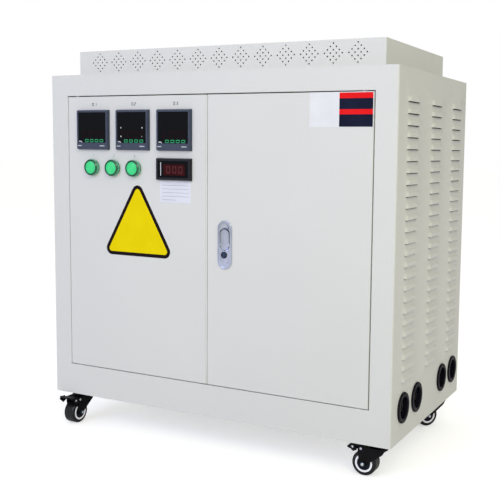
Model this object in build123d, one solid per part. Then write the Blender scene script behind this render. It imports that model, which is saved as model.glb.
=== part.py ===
from build123d import *
import math
import os

# A sheet-metal transformer cabinet on four swivel castors. Millimetres, +Z up, the doors face -Y.
# The origin is on the floor, under the middle of the cabinet's body.

# Cabinet body, a box of folded sheet steel
body_width = 915
body_depth = 500
body_height = 800
castor_height = 82
wall = 1.5
frame_wall = 2
frame_return = 30
frame_bend = 4
post_face = 50
top_rail_face = 50
bottom_rail_face = 75
panel_flange = 20
floor_wall = 2

# Vent cowl on the roof
cowl_inset = 48
cowl_side_inset = 50
cowl_height = 62
cowl_bend = 1.2
roof_lip = 40

# Groups of small holes in the cowl's front and rear plates, each a diamond with one hole at its tips
perforation_groups = 13
perforation_group_pitch = 57.6
perforation_drop = 28.5
perforation_rows = (1, 2, 3, 4, 3, 2, 1)
perforation_pitch = 7
perforation_radius = 1.9
perforation_sides = 8

# Two doors that swing on pins at their top and bottom edges
door_gap = 3
seam_gap = 3
door_return = 20
hinge_inset = 24
hinge_setback = 8
pin_radius = 4
pin_reach = 12
pin_clearance = 0.12
hinge_block_height = 10
hinge_block_width = 20
seam_strip_width = 12
seam_strip = 1

# Pressed louvres of the side panels
louvre_columns = 3
louvre_rows = 25
louvre_pitch = 25
louvre_column_pitch = 163
louvre_length = 80
louvre_height = 14
louvre_depth = 5
louvre_lip = 3
louvre_end_facets = 3
louvre_top_slit = 730
louvre_first_column = 95
louvre_gap = 2
louvre_gap_length = 70

# Rubber rings of the four cable entries in the right side panel
entry_places = (71.4, 161.8, 350.8, 440.5)
entry_height = 71.4
entry_outer_radius = 34
entry_hole_radius = 28
entry_bore_radius = 24
entry_lip = 4.5
entry_lip_round = 2
entry_lip_inside = 6
entry_inside_radius = 32

# Instruments on the left door
meter_size = 96
meter_places = (132.5, 251, 369.5)
meter_height = 667
meter_proud = 8.5
meter_taper = 4
meter_body = 91
meter_cutout = 92
meter_frame = 4
meter_band = 15
window_recess = 1.5
instrument_depth = 60
strip_meter_width = 97
strip_meter_height = 52
strip_meter_place = 369
strip_meter_level = 576.3
strip_meter_proud = 8
strip_meter_border = 3
strip_meter_frame = 5
strip_meter_fit = 0.5
lamp_places = (128.5, 191, 253)
lamp_level = 576
lamp_radius = 19.5
lamp_proud = 11.5
lamp_edge = 1.5
lamp_groove = 1.5
lamp_lens_radius = 16
lamp_dome = 1.5
lamp_body_radius = 14.5
lamp_hole_radius = 15
lamp_body_depth = 45

# Flush latch on the right door
latch_place = 506.5
latch_level = 408.5
latch_plate = 3
latch_flange = 3.5
latch_rim = 3
latch_rim_round = 1
latch_recess = 1.2
latch_box_wall = 2
latch_box_length = 104
latch_box_depth = 26
latch_fit = 0.5
lever_width = 23
lever_length = 47
lever_thickness = 8
lever_crown = 2
lever_proud = 1
lever_top = 444
lever_gap = 1.5
lever_top_gap = 3.5
pocket_depth = 18
lever_pin_radius = 2.5
lever_pin_depth = 4
lever_pin_clearance = 0.1
dish_radius = 16
dish_depth = 4
key_ridge_foot = 365
key_level = 385.6
key_radius = 7.5
key_groove_radius = 5.5
key_core_radius = 3.5
key_groove = 2

# Swivel castors
castor_inset = 48
castor_end_inset = 45
castor_plate_size = 60
castor_plate = 3
castor_plate_corner = 6
race_radius = 24
race_height = 11
race_waist = 20
kingpin_radius = 6
kingpin_clearance = 0.1
kingpin_head_radius = 10
kingpin_head = 3
swivel_gap = 0.5
crown_radius = 26
fork_sheet = 3
fork_inside = 32
castor_trail = 28
fork_lead_top = 24
fork_lead_low = 16
fork_lead_drop = 28
fork_trail_reach = 41
fork_trail_drop = 27
crown_tongue = 27
wheel_radius = 28
wheel_width = 30
wheel_shoulder = 4
hub_width = 31.2
hub_radius = 8
rim_inner_radius = 16
rim_outer_radius = 20
rim_width = 29
web_width = 24
axle_radius = 4
axle_clearance = 0.1
axle_boss_radius = 9
axle_nut_radius = 5.5
axle_nut = 4
rivet_head = 1.5
pedal_pivot_reach = 33
pedal_pivot_drop = 20
pedal_pin_radius = 2.5
pedal_pin_clearance = 0.15
pedal_sheet = 2.5
pedal_neck_height = 5
pedal_neck_margin = 3
pedal_neck_gap = 1
pedal_end_reach = 66
pedal_foot_start = 46
pedal_foot_width = 54
pedal_foot_corner = 9
pedal_side_reach = 58
pedal_side_drop = 7
pedal_raised = 9
pedal_pressed = -8

# Core and coils that stand on two rails inside
core_width = 520
core_height = 420
core_stack = 110
core_limb = 90
coil_build = 50
coil_gap = 6
coil_fit = 0.5
coil_corner = 28
coil_ring = 8
coil_ring_step = 4
clamp_height = 80
clamp_flange = 30
clamp_wall = 5
rail_height = 40
rail_width = 40
rail_wall = 4
rail_place = 180
core_lift = 10
board_height = 60
board_thickness = 12
board_length = 460
stud_radius = 5
stud_length = 22
stud_count = 7
base_bar = 40
base_bar_wall = 3

# Values worked out from the sizes above
half_width = body_width / 2
front = -body_depth / 2
back = body_depth / 2
underside = castor_height
roof_level = underside + body_height
opening_left = -half_width + post_face
opening_right = half_width - post_face
opening_bottom = underside + bottom_rail_face
opening_top = roof_level - top_rail_face
frame_back = front + frame_return
hinge_y = front + hinge_setback
floor_top = underside + floor_wall
cowl_left = -half_width + cowl_inset
cowl_right = half_width - cowl_inset
cowl_front = front + cowl_side_inset
cowl_back = back - cowl_side_inset
cowl_top = roof_level + cowl_height
rail_top = floor_top + rail_height


def block(x0, x1, y0, y1, z0, z1):
    """A box between two corners."""
    return Pos((x0 + x1) / 2, (y0 + y1) / 2, (z0 + z1) / 2) * Box(x1 - x0, y1 - y0, z1 - z0)


def rounded(box, bends, radius):
    """A box with the named edges of its front face rounded."""
    edges = box.faces().sort_by(Axis.Y)[0].edges()
    places = {"left": edges.sort_by(Axis.X)[0], "right": edges.sort_by(Axis.X)[-1],
              "bottom": edges.sort_by(Axis.Z)[0], "top": edges.sort_by(Axis.Z)[-1]}
    return fillet([places[bend] for bend in bends], radius)


def pan(x0, x1, y0, y1, z0, z1, thickness, bends, radius=None, open_ends=False):
    """A folded sheet tray. Its face is at y0, its returns run back to y1, and the named edges are round."""
    end = -thickness if open_ends else thickness
    hollow = block(x0 + thickness, x1 - thickness, y0 + thickness, y1 + thickness, z0 + end, z1 - end)
    if radius:
        hollow = rounded(hollow, bends, radius - thickness)
    return rounded(block(x0, x1, y0, y1, z0, z1), bends, radius or thickness) - hollow


def rod(radius, start, end):
    """A round bar between two points."""
    a = Vector(*start)
    b = Vector(*end)
    plane = Plane(origin=a, z_dir=(b - a))
    return extrude(plane * Circle(radius), (b - a).length)


parts = {}
pin_x = half_width - post_face - door_gap - hinge_inset


# Front frame: two rails across the whole front, and two posts between them
def hinge_pins(z0, z1):
    """The two pins that the doors turn on, from inside a rail out into the door opening."""
    return [rod(pin_radius, (side * pin_x, hinge_y, z0), (side * pin_x, hinge_y, z1)) for side in (-1, 1)]


def top_rail():
    rail = pan(-half_width, half_width, front, frame_back, opening_top, roof_level, frame_wall,
               ("left", "right"), frame_bend)
    return rail + hinge_pins(opening_top + frame_wall, opening_top - pin_reach)


def bottom_rail():
    rail = pan(-half_width, half_width, front, frame_back, underside, opening_bottom, frame_wall,
               ("left", "right"), frame_bend)
    return rail + hinge_pins(opening_bottom - frame_wall, opening_bottom + pin_reach)


def post(x0, x1, outer_edge):
    return pan(x0, x1, front, frame_back, opening_bottom, opening_top, frame_wall, (outer_edge,), frame_bend,
               open_ends=True)


parts["front_top_rail"] = top_rail()
parts["front_bottom_rail"] = bottom_rail()
parts["front_left_post"] = post(-half_width, opening_left, "left")
parts["front_right_post"] = post(opening_right, half_width, "right")


# Side panels: a sheet with inward flanges, and three columns of pressed louvres
def louvre_outline(radius, foot=0):
    """A louvre's outline on the sheet: a straight slit below, and two corners rounded by a few facets."""
    middle = louvre_length / 2 - louvre_height
    turns = [90 * step / louvre_end_facets for step in range(louvre_end_facets + 1)]
    right = [(middle + radius * math.cos(math.radians(turn)), radius * math.sin(math.radians(turn)))
             for turn in turns]
    left = [(-x, y) for x, y in reversed(right)]
    below = [(left[-1][0], -foot), (right[0][0], -foot)] if foot else []
    return make_face(Polyline(*right, *left, *below, close=True))


def louvre_hood():
    """One louvre's sheet, drawn out from its round back edge to a lip that stands over the slit."""
    lift = Pos(0, 0, louvre_depth)
    outer = loft([louvre_outline(louvre_height), lift * louvre_outline(louvre_lip)], ruled=True)
    outer += extrude(louvre_outline(louvre_height), -wall)
    hollow = loft([louvre_outline(louvre_height, wall), lift * louvre_outline(louvre_lip, wall)], ruled=True)
    return outer - Pos(0, 0, -wall) * hollow


def louvre_places():
    """The middle of each slit, as a place along +Y and a height."""
    return [(front + louvre_first_column + column * louvre_column_pitch,
             underside + louvre_top_slit - row * louvre_pitch)
            for column in range(louvre_columns) for row in range(louvre_rows)]


def side_panel():
    """The right panel, with its outer face along +X. The left one is its mirror image."""
    face = Plane(origin=(half_width, 0, 0), x_dir=(0, 1, 0), z_dir=(1, 0, 0))
    middle = Pos((frame_back + back) / 2, (underside + roof_level) / 2)
    sheet = middle * Rectangle(back - frame_back, body_height)
    gap = Pos(0, -louvre_gap / 2) * Rectangle(louvre_gap_length, louvre_gap)
    sheet -= [Pos(y, z) * (louvre_outline(louvre_height) + gap) for y, z in louvre_places()]
    hood = louvre_hood()
    hoods = [face.location * Pos(y, z, 0) * hood for y, z in louvre_places()]
    flanges = [block(half_width - panel_flange, half_width - wall, frame_back, back - wall, z0, z0 + wall)
               for z0 in (floor_top, roof_level - 2 * wall)]
    return extrude(face * sheet, -wall) + hoods + flanges


def entry_holes():
    """The four round holes that take the rings of the cable entries."""
    z = underside + entry_height
    outside = half_width + wall
    inside = half_width - 2 * wall
    return [rod(entry_hole_radius, (outside, front + place, z), (inside, front + place, z))
            for place in entry_places]


louvred_panel = side_panel()
parts["left_side_panel"] = mirror(louvred_panel, about=Plane.YZ)
parts["right_side_panel"] = louvred_panel - entry_holes()


# Rear panel, floor and roof close the box between the two side panels
inside_x = half_width - wall


def roof_panel():
    roof = block(-inside_x, inside_x, frame_back, back - wall, roof_level - wall, roof_level)
    return roof - block(cowl_left + roof_lip, cowl_right - roof_lip, cowl_front + roof_lip,
                        cowl_back - roof_lip, roof_level - 2 * wall, roof_level + wall)


parts["rear_panel"] = block(-inside_x, inside_x, back - wall, back, underside, roof_level)
parts["roof_panel"] = roof_panel()
parts["floor_panel"] = block(-inside_x, inside_x, frame_back, back - wall, underside, floor_top)


# Cable entries: grooved rubber rings with a rounded lip, seated in the holes of the right side panel
def cable_entry(y, z):
    inner = half_width - wall
    lip_top = half_width + entry_lip
    lip_foot = inner - entry_lip_inside
    round_z = lip_top - entry_lip_round
    lip_inner = entry_bore_radius + entry_lip_round
    lip_outer = entry_outer_radius - entry_lip_round
    with BuildSketch(Plane.XZ) as section:
        with BuildLine():
            Polyline((entry_outer_radius, round_z), (entry_outer_radius, half_width),
                     (entry_hole_radius, half_width), (entry_hole_radius, inner),
                     (entry_inside_radius, inner), (entry_inside_radius, lip_foot),
                     (entry_bore_radius, lip_foot), (entry_bore_radius, round_z))
            RadiusArc((entry_bore_radius, round_z), (lip_inner, lip_top), entry_lip_round)
            Line((lip_inner, lip_top), (lip_outer, lip_top))
            RadiusArc((lip_outer, lip_top), (entry_outer_radius, round_z), entry_lip_round)
        make_face()
    ring = revolve(section.sketch, Axis.Z)
    return Pos(0, y, z) * Rot(0, 90, 0) * ring


parts["cable_entries"] = Compound([cable_entry(front + place, underside + entry_height)
                                   for place in entry_places])


# Vent cowl: a folded hood open to front and rear, closed there by two perforated plates
def cowl_hood():
    shell = block(cowl_left, cowl_right, cowl_front + wall, cowl_back - wall, roof_level, cowl_top)
    return shell - block(cowl_left + wall, cowl_right - wall, cowl_front, cowl_back, roof_level - wall,
                         cowl_top - wall)


def perforations():
    """Every small hole of one plate, as outlines about the middle of the groups."""
    hole = RegularPolygon(perforation_radius, perforation_sides)
    middle_row = (len(perforation_rows) - 1) / 2
    holes = []
    for group in range(perforation_groups):
        x = (group - (perforation_groups - 1) / 2) * perforation_group_pitch
        for row, count in enumerate(perforation_rows):
            z = (middle_row - row) * perforation_pitch
            holes += [Pos(x + (number - (count - 1) / 2) * 2 * perforation_pitch, z) * hole
                      for number in range(count)]
    return holes


def bent_edge(x0, x1, bend):
    """One end of the plate, where it is bent round towards the side."""
    strip = block(x0, x1, cowl_front, cowl_front + wall, roof_level, cowl_top)
    upright = strip.faces().sort_by(Axis.Y)[0].edges().filter_by(Axis.Z).sort_by(Axis.X)
    return fillet(upright[bend], cowl_bend)


def cowl_grille():
    """The front plate, with its holes right through it and its two bent edges."""
    face = Plane(origin=(0, cowl_front, cowl_top - perforation_drop), x_dir=(1, 0, 0), z_dir=(0, -1, 0))
    middle = Rectangle(cowl_right - cowl_left - 2 * wall, cowl_height)
    middle = Pos(0, perforation_drop - cowl_height / 2) * middle
    plate = extrude(face * (middle - perforations()), -wall)
    return plate + [bent_edge(cowl_left, cowl_left + wall, 0), bent_edge(cowl_right - wall, cowl_right, -1)]


front_grille = cowl_grille()
parts["cowl_hood"] = cowl_hood()
parts["cowl_front_grille"] = front_grille
parts["cowl_rear_grille"] = mirror(front_grille, about=Plane.XZ)


# Doors: folded trays with a drilled block at the hinge corners
seam = (opening_left + opening_right) / 2
door_bottom = opening_bottom + door_gap
door_top = opening_top - door_gap
door_back = front + door_return


def door(side):
    """side is -1 for the left door and 1 for the right one."""
    outer = abs(opening_left) - door_gap
    inner = seam_gap / 2
    x0, x1 = (-outer, seam - inner) if side < 0 else (seam + inner, outer)
    leaf = pan(x0, x1, front, door_back, door_bottom, door_top, wall, ("left", "right", "bottom", "top"))
    x = side * pin_x
    blocks = [block(x - hinge_block_width / 2, x + hinge_block_width / 2, front + wall, door_back - wall,
                    z0, z0 + hinge_block_height)
              for z0 in (door_bottom + wall, door_top - wall - hinge_block_height)]
    leaf += blocks
    bore = pin_radius + pin_clearance
    bore_reach = 2 * wall + hinge_block_height
    leaf -= [rod(bore, (x, hinge_y, door_bottom - wall), (x, hinge_y, door_bottom + bore_reach)),
             rod(bore, (x, hinge_y, door_top + wall), (x, hinge_y, door_top - bore_reach))]
    return leaf


def front_hole(x, z, width, height):
    """A square hole through a door's skin."""
    return block(x - width / 2, x + width / 2, front - wall, front + 2 * wall, z - height / 2, z + height / 2)


def from_left(place):
    return -half_width + place


meter_z = underside + meter_height
strip_z = underside + strip_meter_level
lamp_z = underside + lamp_level
strip_hole_width = strip_meter_width - 2 * strip_meter_border
strip_hole_height = strip_meter_height - 2 * strip_meter_border


def left_door_openings():
    """The holes for the three meters, the strip meter and the three lamps."""
    holes = [front_hole(from_left(place), meter_z, meter_cutout, meter_cutout) for place in meter_places]
    holes.append(front_hole(from_left(strip_meter_place), strip_z, strip_hole_width, strip_hole_height))
    for place in lamp_places:
        x = from_left(place)
        holes.append(rod(lamp_hole_radius, (x, front - wall, lamp_z), (x, front + 2 * wall, lamp_z)))
    return holes


def closing_strip():
    """The flat strip along the left door's free edge."""
    x1 = seam - seam_gap / 2 - wall
    return block(x1 - seam_strip_width, x1, front - seam_strip, front, door_bottom + wall, door_top - wall)


parts["left_door"] = door(-1) + closing_strip() - left_door_openings()


# Instruments: a bezel in front of the skin with a sunk window, and a box or barrel behind it
def instrument(x, z, width, height, proud, taper, frame, band, body_width, body_height_):
    """A square instrument. band is the height of its plain lower edge, below the window."""
    foot = Plane(origin=(x, front, z), x_dir=(1, 0, 0), z_dir=(0, -1, 0))
    face = foot.offset(proud)
    bezel = loft([foot * Rectangle(width, height), face * Rectangle(width - taper, height - taper)])
    window_width = width - taper - 2 * frame
    window_height = height - taper - frame - band
    window = Pos(0, (band - frame) / 2) * Rectangle(window_width, window_height)
    bezel -= extrude(face * window, -window_recess)
    return bezel + block(x - body_width / 2, x + body_width / 2, front, front + instrument_depth,
                         z - body_height_ / 2, z + body_height_ / 2)


def pilot_lamp(x):
    lens_edge = lamp_proud - lamp_groove
    dome_radius = (lamp_lens_radius ** 2 + lamp_dome ** 2) / (2 * lamp_dome)
    with BuildSketch(Plane.XY) as section:
        with BuildLine():
            Polyline((0, -lamp_body_depth), (lamp_body_radius, -lamp_body_depth), (lamp_body_radius, 0),
                     (lamp_radius, 0), (lamp_radius, lamp_proud - lamp_edge),
                     (lamp_radius - lamp_edge, lamp_proud), (lamp_lens_radius, lamp_proud),
                     (lamp_lens_radius, lens_edge))
            RadiusArc((lamp_lens_radius, lens_edge), (0, lens_edge + lamp_dome), -dome_radius)
            Line((0, lens_edge + lamp_dome), (0, -lamp_body_depth))
        make_face()
    lamp = revolve(section.sketch, Axis.Y)
    return Pos(x, front, lamp_z) * Rot(0, 0, 180) * lamp


for number, place in enumerate(meter_places, 1):
    parts[f"panel_meter_{number}"] = instrument(
        from_left(place), meter_z, meter_size, meter_size, meter_proud, meter_taper, meter_frame, meter_band,
        meter_body, meter_body)
parts["strip_meter"] = instrument(
    from_left(strip_meter_place), strip_z, strip_meter_width, strip_meter_height, strip_meter_proud,
    strip_meter_border, strip_meter_frame, strip_meter_frame, strip_hole_width - 2 * strip_meter_fit,
    strip_hole_height - 2 * strip_meter_fit)
for number, place in enumerate(lamp_places, 1):
    parts[f"pilot_lamp_{number}"] = pilot_lamp(from_left(place))


# Flush latch: an oval plate with a box behind it, a lever that lifts out of its pocket, and a key barrel
latch_x = from_left(latch_place)
latch_z = underside + latch_level
latch_face = front - latch_plate
latch_floor = latch_face + latch_recess
pocket_width = lever_width + 2 * lever_gap
latch_box_width = pocket_width + 2 * latch_box_wall
latch_width = latch_box_width + 2 * latch_flange
latch_length = latch_box_length + 2 * latch_flange
lever_top_z = underside + lever_top
lever_foot_z = lever_top_z - lever_length
lever_face = latch_face - lever_proud
lever_pin_y = lever_face + lever_pin_depth
lever_pin_z = lever_foot_z + lever_width / 2
key_z = underside + key_level


def latch_slot(width, z0, z1, y0, y1):
    """An upright bar with round ends, from y0 back to y1."""
    plane = Plane(origin=(latch_x, y0, (z0 + z1) / 2), x_dir=(1, 0, 0), z_dir=(0, 1, 0))
    return extrude(plane * SlotOverall(z1 - z0, width, rotation=90), y1 - y0)


def latch_oval(width, length, y0, y1):
    return latch_slot(width, latch_z - length / 2, latch_z + length / 2, y0, y1)


def crowned_bar(z0, z1, depth):
    """A bar as wide as the lever, with a front that is crowned from side to side."""
    crown_radius = ((lever_width / 2) ** 2 + lever_crown ** 2) / (2 * lever_crown)
    crown_axis = lever_face + crown_radius
    crown = rod(crown_radius, (latch_x, crown_axis, z0), (latch_x, crown_axis, z1))
    return latch_slot(lever_width, z0, z1, lever_face, lever_face + depth) & crown


def latch_housing():
    plate = latch_oval(latch_width, latch_length, latch_face, front)
    plate = fillet(plate.faces().sort_by(Axis.Y)[0].edges(), latch_rim_round)
    housing = plate + latch_oval(latch_box_width - 2 * latch_fit, latch_box_length - 2 * latch_fit, front,
                                 front + latch_box_depth)
    recess_length = latch_length - 2 * latch_rim
    pocket_top = lever_top_z + lever_top_gap
    housing -= latch_oval(latch_width - 2 * latch_rim, recess_length, latch_face - wall, latch_floor)
    dish = Pos(latch_x, latch_floor + dish_depth - dish_radius, pocket_top) * Sphere(dish_radius)
    housing -= dish & latch_oval(pocket_width, recess_length, latch_face, front + latch_box_depth)
    housing += crowned_bar(underside + key_ridge_foot, lever_foot_z + lever_gap, lever_proud + latch_plate)
    housing -= latch_slot(pocket_width, lever_foot_z - lever_gap, pocket_top, lever_face - wall,
                          latch_face + pocket_depth)
    housing += rod(lever_pin_radius, (latch_x - pocket_width / 2, lever_pin_y, lever_pin_z),
                   (latch_x + pocket_width / 2, lever_pin_y, lever_pin_z))
    key_face = lever_face - lever_proud / 2
    housing += rod(key_radius, (latch_x, key_face, key_z), (latch_x, front, key_z))
    groove = Circle(key_groove_radius) - Circle(key_core_radius)
    barrel_front = Plane(origin=(latch_x, key_face, key_z), x_dir=(1, 0, 0), z_dir=(0, 1, 0))
    return housing - extrude(barrel_front * groove, key_groove)


def latch_lever():
    lever = crowned_bar(lever_foot_z, lever_top_z, lever_thickness)
    bore = lever_pin_radius + lever_pin_clearance
    return lever - rod(bore, (latch_x - lever_width, lever_pin_y, lever_pin_z),
                       (latch_x + lever_width, lever_pin_y, lever_pin_z))


parts["right_door"] = door(1) - latch_oval(latch_box_width, latch_box_length, front - wall, front + 2 * wall)
parts["latch_housing"] = latch_housing()
parts["latch_lever"] = latch_lever()


# Castors. Each is drawn about its own swivel axis, with the wheel trailing along -Y, and then turned
castor_centre = {
    "front_left": (-half_width + castor_end_inset, front + castor_inset, 270),
    "front_right": (half_width - castor_end_inset, front + castor_inset, 180),
    "rear_right": (half_width - castor_end_inset, back - castor_inset, 230),
    "rear_left": (-half_width + castor_end_inset, back - castor_inset, 300),
}
race_bottom = -castor_plate - race_height
crown_top = race_bottom - swivel_gap
crown_bottom = crown_top - fork_sheet
axle_z = -castor_height + wheel_radius
leg_inner = fork_inside / 2
leg_outer = leg_inner + fork_sheet


def castor_plate_solid():
    """The mounting plate with its bearing race and kingpin, as one turned form under a rounded square."""
    outline = RectangleRounded(castor_plate_size, castor_plate_size, castor_plate_corner)
    plate = extrude(outline, -castor_plate)
    head_top = crown_bottom - swivel_gap
    head_foot = head_top - kingpin_head
    with BuildSketch(Plane.XZ) as section:
        with BuildLine():
            Polyline((0, -castor_plate), (race_radius, -castor_plate), (race_waist, race_bottom),
                     (kingpin_radius, race_bottom), (kingpin_radius, head_top),
                     (kingpin_head_radius, head_top), (kingpin_head_radius, head_foot), (0, head_foot),
                     (0, -castor_plate))
        make_face()
    return plate + revolve(section.sketch, Axis.Z)


def fork_solid(with_pedal):
    """A pressed fork: a round crown with two legs that taper down to the axle."""
    with BuildSketch(Plane.YZ) as leg_side:
        with BuildLine():
            Polyline((fork_lead_top, crown_top), (fork_lead_low, -fork_lead_drop),
                     (-castor_trail + axle_boss_radius, axle_z), (-castor_trail - axle_boss_radius, axle_z),
                     (-fork_trail_reach, -fork_trail_drop), (-fork_trail_reach, crown_top),
                     (fork_lead_top, crown_top))
        make_face()
        with Locations((-castor_trail, axle_z)):
            Circle(axle_boss_radius)
    fork = extrude(Pos(0, 0, crown_bottom) * Circle(crown_radius), fork_sheet)
    fork += block(-leg_outer, leg_outer, -crown_tongue, 0, crown_bottom, crown_top)
    fork += [extrude(Pos(side * leg_inner, 0, 0) * leg_side.sketch, side * fork_sheet) for side in (-1, 1)]
    fork -= rod(kingpin_radius + kingpin_clearance, (0, 0, crown_top + fork_sheet),
                (0, 0, crown_bottom - fork_sheet))
    nut_end = leg_outer + axle_nut
    fork += rod(axle_radius, (-nut_end, -castor_trail, axle_z), (nut_end, -castor_trail, axle_z))
    for side in (-1, 1):
        nut = Plane(origin=(side * leg_outer, -castor_trail, axle_z), x_dir=(0, 1, 0), z_dir=(side, 0, 0))
        fork += extrude(nut * RegularPolygon(axle_nut_radius, 6), axle_nut)
    if with_pedal:
        fork += rod(pedal_pin_radius, (-leg_outer - rivet_head, -pedal_pivot_reach, -pedal_pivot_drop),
                    (leg_outer + rivet_head, -pedal_pivot_reach, -pedal_pivot_drop))
    return fork


def wheel_solid():
    """A tyre with rounded shoulders, a raised ring on each face and a hub bored for the axle."""
    half = wheel_width / 2
    flat = half - wheel_shoulder
    shoulder = wheel_radius - wheel_shoulder
    bore = axle_radius + axle_clearance
    with BuildSketch(Plane.XY) as section:
        with BuildLine():
            Polyline((-hub_width / 2, bore), (-hub_width / 2, hub_radius), (-web_width / 2, hub_radius),
                     (-web_width / 2, rim_inner_radius), (-rim_width / 2, rim_inner_radius),
                     (-rim_width / 2, rim_outer_radius), (-half, rim_outer_radius), (-half, shoulder))
            RadiusArc((-half, shoulder), (-flat, wheel_radius), wheel_shoulder)
            Line((-flat, wheel_radius), (flat, wheel_radius))
            RadiusArc((flat, wheel_radius), (half, shoulder), wheel_shoulder)
            Polyline((half, shoulder), (half, rim_outer_radius),
                     (rim_width / 2, rim_outer_radius), (rim_width / 2, rim_inner_radius),
                     (web_width / 2, rim_inner_radius), (web_width / 2, hub_radius),
                     (hub_width / 2, hub_radius), (hub_width / 2, bore), (-hub_width / 2, bore))
        make_face()
    return Pos(0, -castor_trail, axle_z) * revolve(section.sketch, Axis.X)


def pedal_solid(angle):
    """A pressed brake pedal: a neck between the fork's legs and a broad foot behind them."""
    neck = leg_inner - pedal_neck_gap
    top = -pedal_pivot_drop + pedal_neck_height
    under = top - pedal_sheet
    neck_end = -pedal_pivot_reach + pedal_neck_margin
    pedal = block(-neck, neck, -pedal_foot_start - pedal_sheet, neck_end, under, top)
    foot = Rectangle(pedal_foot_width, pedal_end_reach - pedal_foot_start)
    foot = chamfer(foot.vertices(), pedal_foot_corner)
    pedal += extrude(Pos(0, -(pedal_foot_start + pedal_end_reach) / 2, under) * foot, pedal_sheet)
    pedal += [block(x, x + pedal_sheet, -pedal_side_reach, neck_end, top - pedal_side_drop, under)
              for x in (-neck, neck - pedal_sheet)]
    pedal -= rod(pedal_pin_radius + pedal_pin_clearance, (-leg_outer, -pedal_pivot_reach, -pedal_pivot_drop),
                 (leg_outer, -pedal_pivot_reach, -pedal_pivot_drop))
    pivot = Pos(0, -pedal_pivot_reach, -pedal_pivot_drop)
    return pivot * Rot(-angle, 0, 0) * pivot.inverse() * pedal


pedal_angle = {"front_left": pedal_raised, "front_right": pedal_pressed}
for name, (x, y, heading) in castor_centre.items():
    place = Pos(x, y, underside) * Rot(0, 0, heading - 270)
    parts[f"castor_{name}_plate"] = Pos(x, y, underside) * castor_plate_solid()
    parts[f"castor_{name}_fork"] = place * fork_solid(name in pedal_angle)
    parts[f"castor_{name}_wheel"] = place * wheel_solid()
    if name in pedal_angle:
        parts[f"castor_{name}_pedal"] = place * pedal_solid(pedal_angle[name])


# Core and coils: a three-limb core held by clamps, on two rails across the floor
core_bottom = rail_top + core_lift
core_top = core_bottom + core_height
limb_pitch = (core_width - core_limb) / 2
window_width = limb_pitch - core_limb
window_bottom = core_bottom + core_limb
window_top = core_top - core_limb
coil_width = limb_pitch - coil_gap
coil_depth = core_stack + 2 * coil_build


def core_solid():
    core = block(-core_width / 2, core_width / 2, -core_stack / 2, core_stack / 2, core_bottom, core_top)
    return core - [block(x - window_width / 2, x + window_width / 2, -core_stack, core_stack, window_bottom,
                         window_top)
                   for x in (-limb_pitch / 2, limb_pitch / 2)]


def coil_solid(x):
    """One limb's winding, set back a little from the yokes at both ends, between two end rings."""
    hole = Rectangle(core_limb + 2 * coil_fit, core_stack + 2 * coil_fit)
    ring = RectangleRounded(coil_width, coil_depth, coil_corner) - hole
    winding = RectangleRounded(coil_width - 2 * coil_ring_step, coil_depth - 2 * coil_ring_step,
                               coil_corner - coil_ring_step) - hole
    coil = extrude(Pos(x, 0, window_bottom) * winding, window_top - window_bottom)
    return coil + [extrude(Pos(x, 0, z) * ring, coil_ring) for z in (window_bottom, window_top - coil_ring)]


def clamp_bar(side, z0):
    """A steel channel pressed against one face of a yoke, with its flanges turned outwards."""
    y_in = side * core_stack / 2
    y_web = y_in + side * clamp_wall
    y_out = y_in + side * clamp_flange
    bar = block(-core_width / 2, core_width / 2, min(y_in, y_out), max(y_in, y_out), z0, z0 + clamp_height)
    past = y_out + side * clamp_wall
    return bar - block(-core_width, core_width, min(y_web, past), max(y_web, past), z0 + clamp_wall,
                       z0 + clamp_height - clamp_wall)


def core_rail(x):
    """A channel that lies across the floor, between the bars of the base frame."""
    rail = block(x - rail_width / 2, x + rail_width / 2, frame_back + base_bar, back - wall - base_bar,
                 floor_top, rail_top)
    return rail - block(x - rail_width / 2 + rail_wall, x + rail_width, -body_depth, body_depth,
                        floor_top + rail_wall, rail_top - rail_wall)


def base_frame():
    """Angle bars round the floor, welded into one ring."""
    x0 = -half_width + wall + panel_flange
    x1 = -x0
    y0 = frame_back
    y1 = back - wall
    z0 = floor_top
    z1 = floor_top + base_bar
    ring = block(x0, x1, y0, y1, z0, z1)
    ring -= block(x0 + base_bar, x1 - base_bar, y0 + base_bar, y1 - base_bar, z0 - base_bar, z1 + base_bar)
    return ring - block(x0 + base_bar_wall, x1 - base_bar_wall, y0 + base_bar_wall, y1 - base_bar_wall,
                        z0 + base_bar_wall, z1 + base_bar)


def terminal_board():
    """An insulating board that stands on the front top clamp's flange, with one row of studs."""
    z0 = core_top - clamp_flange + clamp_wall
    y = -core_stack / 2 - clamp_flange
    z1 = z0 + clamp_flange + board_height
    z = z1 - board_height / 2
    board = block(-board_length / 2, board_length / 2, y - board_thickness, y, z0, z1)
    places = [-board_length / 2 + board_length * (number + 0.5) / stud_count for number in range(stud_count)]
    return board + [rod(stud_radius, (x, y - board_thickness, z), (x, y - board_thickness - stud_length, z))
                    for x in places]


parts["core"] = core_solid()
for name, x in (("left", -limb_pitch), ("middle", 0), ("right", limb_pitch)):
    parts[f"{name}_coil"] = coil_solid(x)
parts["bottom_clamps"] = Compound([clamp_bar(side, rail_top) for side in (-1, 1)])
parts["top_clamps"] = Compound([clamp_bar(side, core_top - clamp_height) for side in (-1, 1)])
parts["core_rails"] = Compound([core_rail(x) for x in (-rail_place, rail_place)])
parts["base_frame"] = base_frame()
parts["terminal_board"] = terminal_board()

os.makedirs("parts", exist_ok=True)
for name, solid in parts.items():
    export_step(solid, f"parts/{name}.step")
print(len(parts), "nodes")
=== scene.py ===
import math

import bmesh
import bpy
import numpy as np
from mathutils import Matrix, Vector
from mathutils.geometry import delaunay_2d_cdt


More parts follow.
